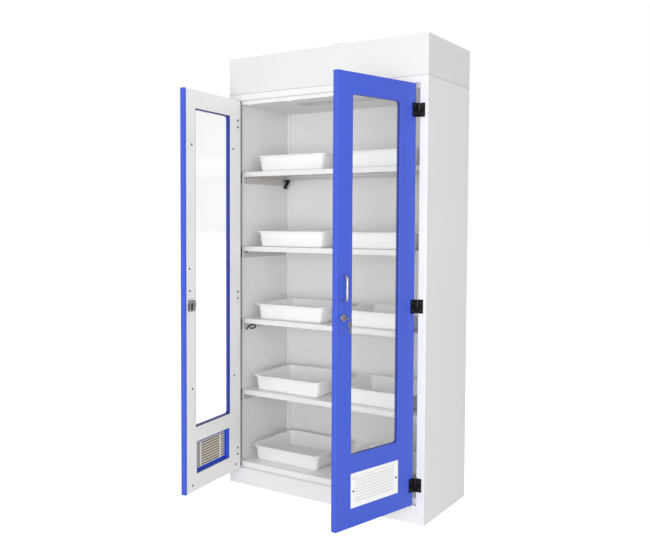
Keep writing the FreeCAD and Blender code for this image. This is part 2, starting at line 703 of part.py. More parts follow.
def split_ring(centre):
    return ring_disc(centre, RING_RADIUS + RING_WIRE).cut(ring_disc(centre, RING_RADIUS - RING_WIRE))


def spare_key():
    # A split ring through the bow of the key in the lock, with the second key hanging on it.
    crossing = math.sqrt(RING_RADIUS**2 - RING_DROP**2)
    ring_y = BOW_CENTRE - KEY_HOLE_OFFSET - crossing - RING_SEAT
    ring_z = LOCK_HEIGHT - RING_DROP
    ring = split_ring(V(HANDLE_X, ring_y, ring_z))
    hole_z = ring_z - RING_RADIUS + RING_WIRE + SPARE_HANG - KEY_HOLE_RADIUS
    bow_z = hole_z - KEY_HOLE_OFFSET
    y0 = ring_y - KEY_THICKNESS / 2
    bow = key_head(1)
    bow.rotate(V(0, 0, 0), V(1, 0, 0), 90)
    bow.translate(V(HANDLE_X, y0 + KEY_THICKNESS, bow_z))
    half = KEY_BLADE / 2
    blade_end = bow_z - KEY_BOW_RADIUS - SPARE_BLADE_LENGTH
    blade = block(HANDLE_X - half, HANDLE_X + half, y0, y0 + KEY_THICKNESS, blade_end, bow_z)
    return Part.makeCompound([ring, bow.fuse(blade).removeSplitter()])


def lock_keeper():
    # The case on the other door that the cam turns into: square at its mouth, round at its far side.
    x0 = DOOR_FREE_EDGE + KEEPER_FREE_MARGIN
    x1 = x0 + KEEPER_WIDTH
    y0 = NUT_FRONT
    y1 = y0 + KEEPER_DEPTH
    low, high = LOCK_HEIGHT - KEEPER_HEIGHT / 2, LOCK_HEIGHT + KEEPER_HEIGHT / 2
    case = block(x0, x1, y0, y1, low, high)
    round_edges = [
        e
        for e in case.Edges
        if all(abs(v.X - x1) < 0.01 for v in e.Vertexes) and abs(e.Vertexes[0].Z - e.Vertexes[-1].Z) < 0.01
    ]
    case = case.makeFillet(KEEPER_HEIGHT / 3, round_edges)
    mouth_top = LOCK_HEIGHT + CAM_WIDTH / 2 + CAM_CLEARANCE
    mouth_front, mouth_back = CAM_FRONT - CAM_CLEARANCE, CAM_FRONT + CAM_THICKNESS + CAM_CLEARANCE
    mouth = block(x0, x0 + KEEPER_MOUTH, mouth_front, mouth_back, low, mouth_top)
    window = block(x0 + KEEPER_WALL, x0 + KEEPER_MOUTH, mouth_back, y1, low + 2 * KEEPER_WALL, mouth_top)
    return case.cut(mouth).cut(window)


def build_carcass():
    for name, side in (("left", -1), ("right", 1)):
        for piece, make in (("side_skin", side_skin), ("side_lining", side_lining)):
            shape = make()
            save(f"{piece}_{name}", shape if side > 0 else mirrored(shape))
        rails = [shelf_rail(top) for top in SHELF_TOPS]
        save(f"shelf_rails_{name}", Part.makeCompound([r if side > 0 else mirrored(r) for r in rails]))
        leaves = [hinge_frame(z) for z in HINGE_HEIGHTS]
        save(f"hinges_frame_{name}", Part.makeCompound([s if side > 0 else mirrored(s) for s in leaves]))
    singles = {
        "back_panel": back_panel,
        "base_pan": base_pan,
        "plinth_front": plinth_front,
        "floor_deck": floor_deck,
        "top_rail": top_rail,
        "ceiling_panel": ceiling_panel,
        "header_shell": header_shell,
        "header_top": header_top,
        "shelf_clip": shelf_clip,
    }
    for name, make in singles.items():
        save(name, make())
    for number, top in enumerate(SHELF_TOPS, 1):
        save(f"shelf_{number}", shelf(top))


def build_trays():
    y = FRONT + TRAY_SETBACK + TRAY_DEPTH / 2
    for level, (z, shift) in enumerate(zip(LEVELS, TRAY_SHIFTS), 1):
        for name, side in (("left", -1), ("right", 1)):
            shape = tray()
            shape.translate(V(side * TRAY_CENTRE + shift, y, z))
            save(f"tray_{name}_{level}", shape)


def build_doors():
    for name, side in (("left", -1), ("right", 1)):
        pan, liner = door_pan(), door_liner()
        if side > 0:
            width = BARREL_WIDTH + 2 * BARREL_CLEARANCE
            hole = panel_block(HANDLE_X, LOCK_HEIGHT, width, width, FRONT, NUT_FRONT)
            pan, liner = pan.cut(hole), liner.cut(hole)
        pieces = {
            "door_pan": pan,
            "door_liner": liner,
            "glass": glass(),
            "glazing_bead": glazing_bead(),
            "louvre": louvre(),
            "handle": handle(),
            "hinges_door": Part.makeCompound([hinge_door(z) for z in HINGE_HEIGHTS]),
        }
        for piece, shape in pieces.items():
            save(f"{piece}_{name}", hung(shape, side))
    for make in (lock_cylinder, lock_plug, key, spare_key):
        save(make.__name__, hung(make(), 1))
    save("lock_keeper", hung(lock_keeper(), -1))


build_carcass()
build_trays()
build_doors()
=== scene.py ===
import json
import math

import bmesh
import bpy
from mathutils import Matrix, Vector


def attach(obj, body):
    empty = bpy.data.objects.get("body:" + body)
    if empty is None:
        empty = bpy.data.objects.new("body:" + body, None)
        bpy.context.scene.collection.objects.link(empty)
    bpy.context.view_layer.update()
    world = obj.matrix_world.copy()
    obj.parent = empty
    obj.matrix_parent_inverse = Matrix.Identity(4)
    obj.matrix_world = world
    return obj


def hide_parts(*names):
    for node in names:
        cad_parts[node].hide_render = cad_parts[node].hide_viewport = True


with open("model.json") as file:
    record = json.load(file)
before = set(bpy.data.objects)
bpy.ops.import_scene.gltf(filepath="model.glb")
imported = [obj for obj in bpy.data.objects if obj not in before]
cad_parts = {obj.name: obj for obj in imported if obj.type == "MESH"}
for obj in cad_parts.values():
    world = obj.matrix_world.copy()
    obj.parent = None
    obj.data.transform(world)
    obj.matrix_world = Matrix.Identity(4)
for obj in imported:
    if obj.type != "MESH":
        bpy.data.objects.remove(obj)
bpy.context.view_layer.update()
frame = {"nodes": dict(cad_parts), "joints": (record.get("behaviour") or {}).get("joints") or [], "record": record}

# Looks of a ventilated steel storage cabinet with glazed doors that stand open.
# The frame is the part's own: metres, X to the right, Y to the back, Z up, origin under the base.
# Door pieces are drawn on the shut right door and then swung to where the frame has the door.

nodes = frame["nodes"]
joint_of = {joint["child"]: joint for joint in frame["joints"]}
SIDES = (("left", -1), ("right", 1))
CLEARANCE = 0.0005

# Nodes whose names start so have a look of their own: the door liners a brighter white as painted light, the shelf
# rails a darker grey as painted shade under the shelves, and the header a darker white as painted shade
OWN_LOOKS = (("door_liner", "liner"), ("shelf_rails", "rail"), ("header", "header"))

# Fineness of round forms
SHARP_ANGLE = math.radians(40)
ROUND_SIDES = 40
BOLT_SIDES = 20
HANDLE_SIDES = 20
SCREW_SIDES = 16
WIRE_SIDES = 12
RING_SIDES = 10
CORNER_STEPS = 8
WIRE_STEPS = 6
BLOCK_ROUNDING = 0.6

# The shut door
FRONT = -0.200
LINER = -0.180
WINDOW_X = 0.200
HINGE_Z = (0.150, 0.812, 1.525)
HINGE_AXIS_X = joint_of["right_door"]["pos_m"][0]
HINGE_FACE = -0.204

# Handles. The left one stands closer, because it doesn't show past its door's edge in the photograph.
HANDLE_X = 0.033
HANDLE_Z = 0.898
HANDLE_SPACING = 0.084
HANDLE_STANDS = {"left": 0.0170, "right": 0.0205}
HANDLE_BEND = 0.012
HANDLE_BEND_STEPS = 10
HANDLE_SECTION = (0.0045, 0.0035)

# Lock
LOCK_Z = 0.800
ROSETTE_RADIUS = 0.012
ROSETTE_HEIGHT = 0.004
PLUG_RADIUS = 0.006
COVER_RIM = 0.0002
COVER_CROWN = 0.0012
COVER_MOUTH = 0.0008
COVER_DOME = 0.0016
COVER_STEPS = 8
KEEPER_MOUTH_X = 0.0329
KEEPER_MOUTH_Y = (-0.1770, -0.1656)
KEEPER_MOUTH_Z = (0.7851, 0.8094)
KEEPER_SHADE_SHEET = 0.0004

# Louvres. Depths are behind the grille's rear or face, drops below a blade's edge.
LOUVRE_Z = 0.201
GRILLE_FACE = -0.202
GRILLE_REAR = -0.196
GRILLE_WIDTH = 0.205
GRILLE_HEIGHT = 0.096
GRILLE_COLUMNS = ((-0.102, -0.075), (-0.068, 0.068), (0.075, 0.102))
BLADE_COUNT = 9
BLADE_BACK_SHARE = 0.28
SLOT_SHADE_DEPTHS = (0.0001, 0.0003)
BLADE_BACK_DEPTHS = (0.0003, 0.0010)
GAP_SHADE_DEPTHS = (0.0004, 0.0008)
GAP_SHADE_DROPS = (0.0015, 0.0001)

# Small fasteners: places, then radii
LOUVRE_SCREWS = ((-0.1125, -0.002), (0.1125, -0.002))
PALE_LOUVRE_SCREW = (-0.1125, 0.043)
LINER_SCREWS = (
    (0.049, 1.412),
    (0.350, 1.418),
    (0.050, 0.477),
    (0.357, 0.477),
    (0.051, 0.099),
    (0.370, 0.097),
)
HINGE_SCREW_REACH = 0.017
INNER_SCREW_REACH = 0.027
HINGE_SCREW_RISE = 0.014
LOUVRE_SCREW_RADIUS = 0.0038
LINER_SCREW_RADIUS = 0.0042
HINGE_SCREW_RADIUS = 0.0036
INNER_SCREW_RADIUS = 0.0046

# A screw's head in shares of its radius: the reach along the cross, the reach between its arms, and the rise
SCREW_RINGS = (
    (1.0, 1.0, 0.0),
    (1.0, 1.0, 0.1925),
    (0.84, 0.84, 0.44),
    (0.62, 0.62, 0.55),
    (0.46, 0.16, 0.55),
    (0.34, 0.12, 0.2475),
)

# Moulded trays
TRAY_TAPER = 0.010
TRAY_RIM = 0.012
TRAY_LIP = 0.004
TRAY_WALL = 0.0025
TRAY_CORNER = 0.036
TRAY_LEAST_CORNER = 0.008
TRAY_BASE_RADIUS = 0.006
TRAY_BASE_STEPS = 4
TRAY_EDGE_RADIUS = 0.0012
TRAY_EDGE_STEPS = 3
TRAY_LEVELS = 5

# The inside of the cabinet
DECK_TOP = 0.092
CEILING = 1.610
WALL_X = 0.4185
SHELF_LEVELS = 4
SHELF_FOLD = 0.020

# Screen over the slot in the ceiling, with its edge as pairs of inset and rise
CEILING_SHEET_TOP = 1.611
SLOT_PLACE = (0.0, -0.040)
SLOT_SIZE = (0.400, 0.100)
SCREEN_OVERLAP = 0.012
SCREEN_CORNER = 0.020
SCREEN_EDGE = ((0.0006, 0.0), (0.0, 0.0004), (0.0, 0.0014), (0.0006, 0.0018))

# Uprights, and the black marks of painted shade at the ends of the stop lips as pairs of height and half height
UPRIGHT_Y = -0.1615
UPRIGHT_HALF = 0.0065
UPRIGHT_SHEET = 0.0008
SLOT_FILM = 0.0004
SLOT_HALF_WIDTH = 0.0028
SLOT_HALF_HEIGHT = 0.024
LIP_FACE = -0.178
LIP_SHADE_X = -0.4085
LIP_SHADE_HALF = 0.004
LIP_SHADE_DEPTH = 0.0012
LIP_END_SHADES = ((0.081, 0.0105), (1.6175, 0.0068))

# Folds down the rear corners
BEAD_X = 0.4065
BEAD_Y = 0.197
BEAD_RADIUS = 0.0028
BEAD_STEPS = 12

# Joint under the header
BODY_HALF = (0.450, 0.200)
BODY_HEIGHT = 1.650
SEAM_BEHIND = (0.0003, 0.0009)
SEAM_RISE = (0.00005, 0.00145)
SEAM_CORNER = 0.0005

# Fittings under the shelves. A bolt's profile is pairs of radius and height.
BOLT_PLACES = ((-0.4095, -0.134, 0.9918), (-0.4095, 0.176, 0.9918))
BOLT_PROFILE = ((0.0052, 0.0), (0.0052, 0.0012), (0.0044, 0.0018), (0.0044, 0.0046), (0.0036, 0.0054))
LOOP_WIRE = 0.0027
LOOP_PATH = (
    (-0.4007, -0.147, 0.6553),
    (-0.3950, -0.147, 0.6630),
    (-0.3877, -0.147, 0.6704),
    (-0.3798, -0.147, 0.6760),
    (-0.3699, -0.147, 0.6815),
    (-0.3599, -0.147, 0.6800),
    (-0.3526, -0.147, 0.6725),
    (-0.3599, -0.146, 0.6656),
    (-0.3720, -0.145, 0.6635),
    (-0.3840, -0.144, 0.6620),
)
HOOK_WIRE = 0.0017
HOOK_PATH = (
    (0.112, 0.180, 1.3085),
    (0.108, 0.180, 1.2960),
    (0.104, 0.180, 1.2860),
    (0.105, 0.180, 1.2760),
    (0.100, 0.180, 1.2680),
    (0.091, 0.180, 1.2670),
)

# Keys. Lengths run from the middle of the bow, and cuts are shares of the blade's half width.
BOW_RADIUS = 0.009
BOW_HOLE = 0.0034
BOW_HOLE_OFFSET = 0.004
BOW_Y = -0.223
KEY_HALF = 0.0008
KEY_EDGE = 0.0003
KEY_LENGTH = 0.0315
BLADE_HALF = 0.004
BLADE_TIP = 0.002
BLADE_START = 0.9 * BOW_RADIUS
BLADE_CUTS = (0.36, 0.0, 0.456, 0.144, 0.54, 0.24, 0.384)
FIRST_CUT = 0.6
SPARE_LENGTH = 0.033

# Split ring through the hole of the key in the lock. The top of the spare key's hole stands SPARE_LIFT above
# the ring's lowest point.
RING_RADIUS = 0.008
RING_WIRE = 0.0004
RING_TURNS = 1.9
RING_STEPS = 96
RING_DROP = 0.005
RING_SEAT = 0.0004
SPARE_LIFT = 0.0011
RING_Y = BOW_Y - BOW_HOLE_OFFSET - math.sqrt(RING_RADIUS**2 - RING_DROP**2) - RING_SEAT
RING_Z = LOCK_Z - RING_DROP
SPARE_BOW_Z = RING_Z - RING_RADIUS + SPARE_LIFT - BOW_HOLE - BOW_HOLE_OFFSET

# Camera, fitted to points of the cabinet in the photograph, whose size is in pixels
IMAGE_WIDTH = 650.0
IMAGE_HEIGHT = 550.0
FOCAL_PIXELS = 801.018
PRINCIPAL_POINT = (271.843, 255.716)
CAMERA_PLACE = (1.639437, -2.903501, 1.128121)
CAMERA_YAW = 0.605487
CAMERA_PITCH = 0.045126
CAMERA_ROLL = 0.001967
SENSOR = 36.0

# Light: each lamp's name, place, target, size and power
WORLD_STRENGTH = 0.59
FLOOR_SIZE = 60.0
FLOOR_TONE = 0.90
FLOOR_ROUGHNESS = 0.9
FLOOR_GLOW = 0.62
LAMPS = (
    ("key", (1.4, -4.8, 1.0), (0, 0, 0.75), 1.8, 75),
    ("side", (4.0, -3.4, 1.6), (0, 0, 0.9), 3.0, 48),
    ("upper", (0.6, -3.6, 2.6), (0, 0, 0.3), 1.6, 12),
)

# The part of a noise texture's range that its values mostly keep to
NOISE_SPAN = (0.3, 0.7)


def node_box(name):
    # The low and the high corner of a CAD node at rest.
    node = nodes[name]
    points = [node.matrix_world @ vertex.co for vertex in node.data.vertices]
    low = [min(point[i] for point in points) for i in range(3)]
    high = [max(point[i] for point in points) for i in range(3)]
    return low, high


def shelf_tops():
    return [node_box(f"shelf_{level}")[1][2] for level in range(1, SHELF_LEVELS + 1)]


def door_matrix(side):
    # From the shut right door to this side's door at rest.
    joint = joint_of["right_door" if side > 0 else "left_door"]
    pivot = Vector(joint["pos_m"])
    angle = math.radians(-joint["range_deg"][0]) * joint["axis"][2]
    swing = Matrix.Translation(pivot) @ Matrix.Rotation(angle, 4, "Z") @ Matrix.Translation(-pivot)
    return swing @ Matrix.Diagonal((side, 1, 1, 1))


def add_piece(name, bm, body, material):
    bmesh.ops.recalc_face_normals(bm, faces=bm.faces)
    mesh = bpy.data.meshes.new(name)
    bm.to_mesh(mesh)
    bm.free()
    mesh.materials.append(material)
    piece = bpy.data.objects.new(name, mesh)
    bpy.context.scene.collection.objects.link(piece)
    mesh.shade_smooth()
    mesh.set_sharp_from_angle(angle=SHARP_ANGLE)
    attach(piece, body)
    return piece


def add_rings(bm, rings, looped=False):
    # Joins rings of as many points each into one skin, closed at both ends or looped back to its first ring.
    made = [[bm.verts.new(point) for point in ring] for ring in rings]
    following = made[1:] + made[:1] if looped else made[1:]
    count = len(made[0])
    for first, second in zip(made, following):
        for i in range(count):
            j = (i + 1) % count
            bm.faces.new((first[i], first[j], second[j], second[i]))
    if not looped:
        bm.faces.new(made[0])
        bm.faces.new(made[-1])


def circle(sides):
    # The cosine and the sine of each corner of a round form.
    angles = [2 * math.pi * i / sides for i in range(sides)]
    return [(math.cos(angle), math.sin(angle)) for angle in angles]


def turned_rings(profile, matrix, sides):
    # Turns a profile of (radius, height) pairs about the matrix's Z axis.
    rings = []
    for radius, height in profile:
        rings.append([matrix @ Vector((radius * x, radius * y, height)) for x, y in circle(sides)])
    return rings


def rounded_ring(centre, half_x, half_y, radius, z):
    # A level rectangle with round corners, as a ring of points.
    ring = []
    for corner, (sx, sy) in enumerate(((1, 1), (-1, 1), (-1, -1), (1, -1))):
        for step in range(CORNER_STEPS + 1):
            angle = math.pi / 2 * (corner + step / CORNER_STEPS)
            x = centre[0] + sx * (half_x - radius) + radius * math.cos(angle)
            y = centre[1] + sy * (half_y - radius) + radius * math.sin(angle)
            ring.append((x, y, z))
    return ring


def add_block(bm, corner, opposite):
    # A small block between two corners, with its upright edges rounded off.
    centre = [(a + b) / 2 for a, b in zip(corner, opposite)]
    half_x, half_y = abs(opposite[0] - corner[0]) / 2, abs(opposite[1] - corner[1]) / 2
    radius = min(half_x, half_y) * BLOCK_ROUNDING
    add_rings(bm, [rounded_ring(centre, half_x, half_y, radius, z) for z in (corner[2], opposite[2])])


def screw(bm, place, outward, radius):
    # A pan head with a cross recess.
    matrix = Matrix.Translation(place) @ outward.to_track_quat("Z", "Y").to_matrix().to_4x4()
    rings = []
    for along_cross, between, rise in SCREW_RINGS:
        ring = []
        for i, (x, y) in enumerate(circle(SCREW_SIDES)):
            reach = radius * (along_cross if i % (SCREW_SIDES // 4) == 0 else between)
            ring.append(matrix @ Vector((reach * x, reach * y, radius * rise)))
        rings.append(ring)
    add_rings(bm, rings)


def sweep(bm, path, section, matrix):
    # Runs an oval section along a path in the Y-Z plane, turned to stay square to the path.
    rings = []
    for index, (y, z) in enumerate(path):
        before = path[max(index - 1, 0)]
        after = path[min(index + 1, len(path) - 1)]
        along = Vector((0, after[0] - before[0], after[1] - before[1])).normalized()
        across = Vector((0, -along.z, along.y))
        ring = []
        for cosine, sine in circle(HANDLE_SIDES):
            offset = Vector((section[0] * cosine, 0, 0)) + across * (section[1] * sine)
            ring.append(matrix @ (Vector((0, y, z)) + offset))
        rings.append(ring)
    add_rings(bm, rings)


def tube(bm, path, radius, sides, matrix):
    # A round wire along a path.
    rings = []
    across = None
    for index, point in enumerate(path):
        along = (path[min(index + 1, len(path) - 1)] - path[max(index - 1, 0)]).normalized()
        across = along.orthogonal() if across is None else across
        across = (across - along * across.dot(along)).normalized()
        third = along.cross(across)
        rings.append([matrix @ (point + radius * (x * across + y * third)) for x, y in circle(sides)])
    add_rings(bm, rings)


def smooth_path(points, steps):
    # A smooth run through the given points.
    path = []
    points = [Vector(point) for point in points]
    for i in range(len(points) - 1):
        before, start = points[max(i - 1, 0)], points[i]
        end, after = points[i + 1], points[min(i + 2, len(points) - 1)]
        for step in range(steps):
            t = step / steps
            pull = (end - before) * t + (2 * before - 5 * start + 4 * end - after) * t * t
            path.append(start + 0.5 * (pull + (3 * start - before - 3 * end + after) * t**3))
    return path + points[-1:]


def quarter(radius, steps):
    # The two legs of a quarter circle, from flat to upright.
    angles = [math.pi / 2 * i / steps for i in range(steps + 1)]
    return [(radius * math.sin(angle), radius * (1 - math.cos(angle))) for angle in angles]


def new_material(name):
    material = bpy.data.materials.new(name)
    material.use_nodes = True
    tree = material.node_tree
    return material, tree, tree.nodes["Principled BSDF"]


def noise(tree, scale, detail):
    coordinates = tree.nodes.new("ShaderNodeTexCoord")
    texture = tree.nodes.new("ShaderNodeTexNoise")
    texture.inputs["Scale"].default_value = scale
    texture.inputs["Detail"].default_value = detail
    tree.links.new(coordinates.outputs["Object"], texture.inputs["Vector"])
    return texture.outputs["Fac"]


def ramp(tree, source, low, high, span=NOISE_SPAN):
    # Spreads a texture between two colours.
    node = tree.nodes.new("ShaderNodeValToRGB")
    for stop, position, colour in zip(node.color_ramp.elements, span, (low, high)):
        stop.position = position
        stop.color = (*colour, 1)
    tree.links.new(source, node.inputs["Fac"])
    return node.outputs["Color"]


def spread(tree, source, low, high):
    # Spreads a texture between two numbers.
    node = tree.nodes.new("ShaderNodeMapRange")
    node.inputs["From Min"].default_value = NOISE_SPAN[0]
    node.inputs["From Max"].default_value = NOISE_SPAN[1]
    node.inputs["To Min"].default_value = low
    node.inputs["To Max"].default_value = high
    tree.links.new(source, node.inputs["Value"])
    return node.outputs["Result"]


def bump(tree, shader, source, distance, strength):
    node = tree.nodes.new("ShaderNodeBump")
    node.inputs["Distance"].default_value = distance
    node.inputs["Strength"].default_value = strength
    tree.links.new(source, node.inputs["Height"])
    tree.links.new(node.outputs["Normal"], shader.inputs["Normal"])


def vary_colour(tree, shader, source, colour, darkest):
    # Lets the colour drift between itself and a darker share of itself.
    darker = [channel * darkest for channel in colour]
    tree.links.new(ramp(tree, source, darker, colour), shader.inputs["Base Color"])


def powder_coat(name, colour, roughness, gloss=0.5):
    # Baked powder paint: a fine orange peel, and a colour and gloss that drift a little over the sheet.
    material, tree, shader = new_material(name)
    vary_colour(tree, shader, noise(tree, scale=2.3, detail=3.0), colour, darkest=0.97)
    grain = noise(tree, scale=420.0, detail=2.0)
    tree.links.new(spread(tree, grain, roughness - 0.05, roughness + 0.05), shader.inputs["Roughness"])
    bump(tree, shader, grain, distance=0.0004, strength=0.12)
    shader.inputs["IOR"].default_value = 1.5
    shader.inputs["Specular IOR Level"].default_value = gloss
    return material


def moulded_plastic(name, colour, roughness, gloss=0.5):
    # Moulded plastic: a fine grain and a colour that hardly drifts.
    material, tree, shader = new_material(name)
    vary_colour(tree, shader, noise(tree, scale=9.0, detail=2.0), colour, darkest=0.98)
    grain = noise(tree, scale=800.0, detail=2.0)
    tree.links.new(spread(tree, grain, roughness - 0.04, roughness + 0.06), shader.inputs["Roughness"])
    bump(tree, shader, grain, distance=0.0002, strength=0.1)
    shader.inputs["Specular IOR Level"].default_value = gloss
    return material


def bare_metal(name, colour, roughness):
    # Plated or cast metal with fine handling marks.
    material, tree, shader = new_material(name)
    marks = noise(tree, scale=260.0, detail=5.0)
    vary_colour(tree, shader, marks, colour, darkest=0.82)
    tree.links.new(spread(tree, marks, roughness - 0.08, roughness + 0.1), shader.inputs["Roughness"])
    shader.inputs["Metallic"].default_value = 1.0
    bump(tree, shader, marks, distance=0.0002, strength=0.15)
    return material


def clear_glass(name):
    # Float glass: a faint green tint and a slow waviness.
    material, tree, shader = new_material(name)
    wave = noise(tree, scale=3.0, detail=1.0)
    tree.links.new(ramp(tree, wave, (0.975, 0.985, 0.98), (0.985, 0.99, 0.987)), shader.inputs["Base Color"])
    tree.links.new(spread(tree, wave, 0.01, 0.03), shader.inputs["Roughness"])
    shader.inputs["Transmission Weight"].default_value = 1.0
    shader.inputs["IOR"].default_value = 1.45
    bump(tree, shader, wave, distance=0.0005, strength=0.05)
    return material


def screen_with_painted_shade(name, colour):
    # Sheet with close rows of small dark dots; its grey and the dots are painted shade.
    material, tree, shader = new_material(name)
    coordinates = tree.nodes.new("ShaderNodeTexCoord")
    cells = tree.nodes.new("ShaderNodeTexVoronoi")
    cells.inputs["Scale"].default_value = 160.0
    cells.inputs["Randomness"].default_value = 0.0
    tree.links.new(coordinates.outputs["Object"], cells.inputs["Vector"])
    distance = cells.outputs["Distance"]
    holes = ramp(tree, distance, (0.05, 0.05, 0.05), colour, span=(0.24, 0.30))
    tree.links.new(holes, shader.inputs["Base Color"])
    bump(tree, shader, distance, distance=0.0004, strength=0.3)
    shader.inputs["Roughness"].default_value = 0.5
    return material


def make_materials():
    return {
        "white_paint": powder_coat("white_powder_coat", (0.87, 0.87, 0.875), 0.42),
        "lining_paint": powder_coat("lining_powder_coat", (0.90, 0.897, 0.890), 0.45),
        "shelf_paint": powder_coat("shelf_powder_coat", (0.81, 0.80, 0.79), 0.42),
        "louvre_paint": powder_coat("louvre_powder_coat", (0.97, 0.965, 0.955), 0.45),
        "blue_paint": powder_coat("blue_powder_coat", (0.049, 0.107, 0.66), 0.40),
        # The glazing beads get a darker copy of the blue paint, painted shade of the window reveals.
        "bead_paint": powder_coat("blue_coat_painted_shade", (0.010, 0.020, 0.26), 0.45),
        "black_hinge": powder_coat("black_coated_zinc", (0.006, 0.006, 0.007), 0.55, gloss=0.15),
        "black_plastic": moulded_plastic("black_plastic", (0.010, 0.010, 0.011), 0.45, gloss=0.2),
        "tray_plastic": moulded_plastic("white_plastic", (0.90, 0.90, 0.91), 0.32),
        "window_glass": clear_glass("window_glass"),
        "handle_steel": bare_metal("satin_nickel", (0.62, 0.60, 0.55), 0.24),
        "keeper_zinc": bare_metal("zinc_casting", (0.50, 0.48, 0.43), 0.5),
        "lock_nickel": bare_metal("nickel_plate", (0.52, 0.48, 0.40), 0.22),
        "key_brass": bare_metal("worn_brass", (0.42, 0.36, 0.22), 0.32),
        "dark_screw": bare_metal("dark_steel", (0.10, 0.10, 0.10), 0.5),
        # Grey screen with dark dots, painted shade in the ceiling slot.
        "screen": screen_with_painted_shade("screen_with_painted_shade", (0.74, 0.74, 0.73)),
        # A brighter copy of the white paint for the door liners, painted light on the doors' inner faces.
        "liner": powder_coat("liner_coat_painted_light", (0.97, 0.967, 0.96), 0.42),
        # Dark grey for the slotted uprights, partly their coating and partly painted shade beside the door stiles.
        "upright": powder_coat("upright_coat_and_shade", (0.34, 0.34, 0.335), 0.5),
        # Darker grey for the shelf rails, painted shade under the shelves; the same grey paints shade in the
        # louvres' blade gaps and is the pale louvre screw's own colour.
        "rail": powder_coat("grey_coat_and_painted_shade", (0.64, 0.61, 0.59), 0.5),
        # Brown for the sheet behind the louvre blades, painted shade in their slots.
        "slot_shade": powder_coat("brown_slot_shade", (0.13, 0.10, 0.07), 0.7),
        # Beige for the backs of the louvre blades, their unpainted tone with painted shade of the recess.
        "blade_back": powder_coat("blade_back_coat_and_shade", (0.74, 0.68, 0.56), 0.5),
        # Grey for the strip in the header joint, painted shade of the groove.
        "joint": powder_coat("seam_painted_shade", (0.30, 0.30, 0.30), 0.6),
        # A darker copy of the white paint for the header, painted shade on its front.
        "header": powder_coat("header_coat_painted_shade", (0.82, 0.82, 0.825), 0.42),
    }


def dress_nodes(materials):
    for entry in frame["record"]["subparts"]:
        node = nodes[entry["node"]]
        node.data.materials.clear()
        look = entry["material_slot"]
        for start, own in OWN_LOOKS:
            look = own if entry["node"].startswith(start) else look
        node.data.materials.append(materials[look])
        # Light falls through the panes as through clear glass.
        node.visible_shadow = entry["material_slot"] != "window_glass"


def handle_path(stand):
    # The bow seen from the side: out from the door, round a bend, along the grip and back.
    half = HANDLE_SPACING / 2
    grip = FRONT - stand
    path = [(FRONT, -half)]
    for i in range(HANDLE_BEND_STEPS + 1):
        angle = math.pi / 2 * i / HANDLE_BEND_STEPS
        path.append((grip + HANDLE_BEND * (1 - math.sin(angle)), -half + HANDLE_BEND * (1 - math.cos(angle))))
    return [(y, HANDLE_Z + z) for y, z in path] + [(y, HANDLE_Z - z) for y, z in reversed(path)]


def add_handles(materials):
    for name, side in SIDES:
        bm = bmesh.new()
        matrix = door_matrix(side) @ Matrix.Translation((HANDLE_X, 0, 0))
        sweep(bm, handle_path(HANDLE_STANDS[name]), HANDLE_SECTION, matrix)
        piece = add_piece(f"bow_handle_{name}", bm, f"{name}_door", materials["handle_steel"])
        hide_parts(f"handle_{name}")


def add_lock_cover(materials):
    # The domed cover over the lock's flat rosette, open round the plug.
    rim, crown = ROSETTE_RADIUS + COVER_RIM, PLUG_RADIUS + COVER_CROWN
    mouth = PLUG_RADIUS + COVER_MOUTH
    profile = [(rim, 0.0)]
    for step in range(COVER_STEPS + 1):
        angle = math.pi / 2 * step / COVER_STEPS
        reach = crown + (rim - crown) * math.cos(angle)
        profile.append((reach, ROSETTE_HEIGHT + COVER_DOME * math.sin(angle)))
    profile += [(mouth, ROSETTE_HEIGHT + COVER_DOME), (mouth, ROSETTE_HEIGHT + COVER_RIM)]
    place = Matrix.Translation((HANDLE_X, FRONT, LOCK_Z))
    matrix = door_matrix(1) @ place @ Matrix.Rotation(math.radians(90), 4, "X")
    bm = bmesh.new()
    add_rings(bm, turned_rings(profile, matrix, ROUND_SIDES), looped=True)
    add_piece("lock_cover", bm, "right_door", materials["lock_nickel"])


def tray_profile(height):
    # From the outer base over the rim to the inner base: the inset from the rim and the height.
    profile = []
    base = TRAY_RIM + TRAY_TAPER
    for out, up in quarter(TRAY_BASE_RADIUS, TRAY_BASE_STEPS):
        profile.append((base + TRAY_BASE_RADIUS - out - TRAY_TAPER * up / height, up))
    under = height - TRAY_LIP
    profile.append((base - TRAY_TAPER * under / height, under))
    profile += [(TRAY_EDGE_RADIUS, under), (0.0, under + TRAY_EDGE_RADIUS)]
    for out, up in quarter(TRAY_EDGE_RADIUS, TRAY_EDGE_STEPS):
        profile.append((up, height - TRAY_EDGE_RADIUS + out))
    edge = TRAY_RIM + TRAY_WALL
    for out, up in quarter(2 * TRAY_EDGE_RADIUS, TRAY_EDGE_STEPS):
        profile.append((edge - 2 * TRAY_EDGE_RADIUS + out, height - up))
    inner_base = base + TRAY_WALL
    for out, up in reversed(quarter(TRAY_BASE_RADIUS, TRAY_BASE_STEPS)):
        inset = inner_base + TRAY_BASE_RADIUS - out - TRAY_TAPER * up / height
        profile.append((inset, TRAY_WALL + up))
    return profile


def add_tray(body, materials):
    low, high = node_box(body)
    centre = [(a + b) / 2 for a, b in zip(low, high)]
    half_x, half_y = (high[0] - low[0]) / 2, (high[1] - low[1]) / 2
    rings = []
    for inset, z in tray_profile(high[2] - low[2]):
        radius = max(TRAY_CORNER - inset, TRAY_LEAST_CORNER)
        rings.append(rounded_ring(centre, half_x - inset, half_y - inset, radius, low[2] + z))
    bm = bmesh.new()
    add_rings(bm, rings)
    piece = add_piece(f"moulded_{body}", bm, body, materials["tray_plastic"])
    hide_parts(body)


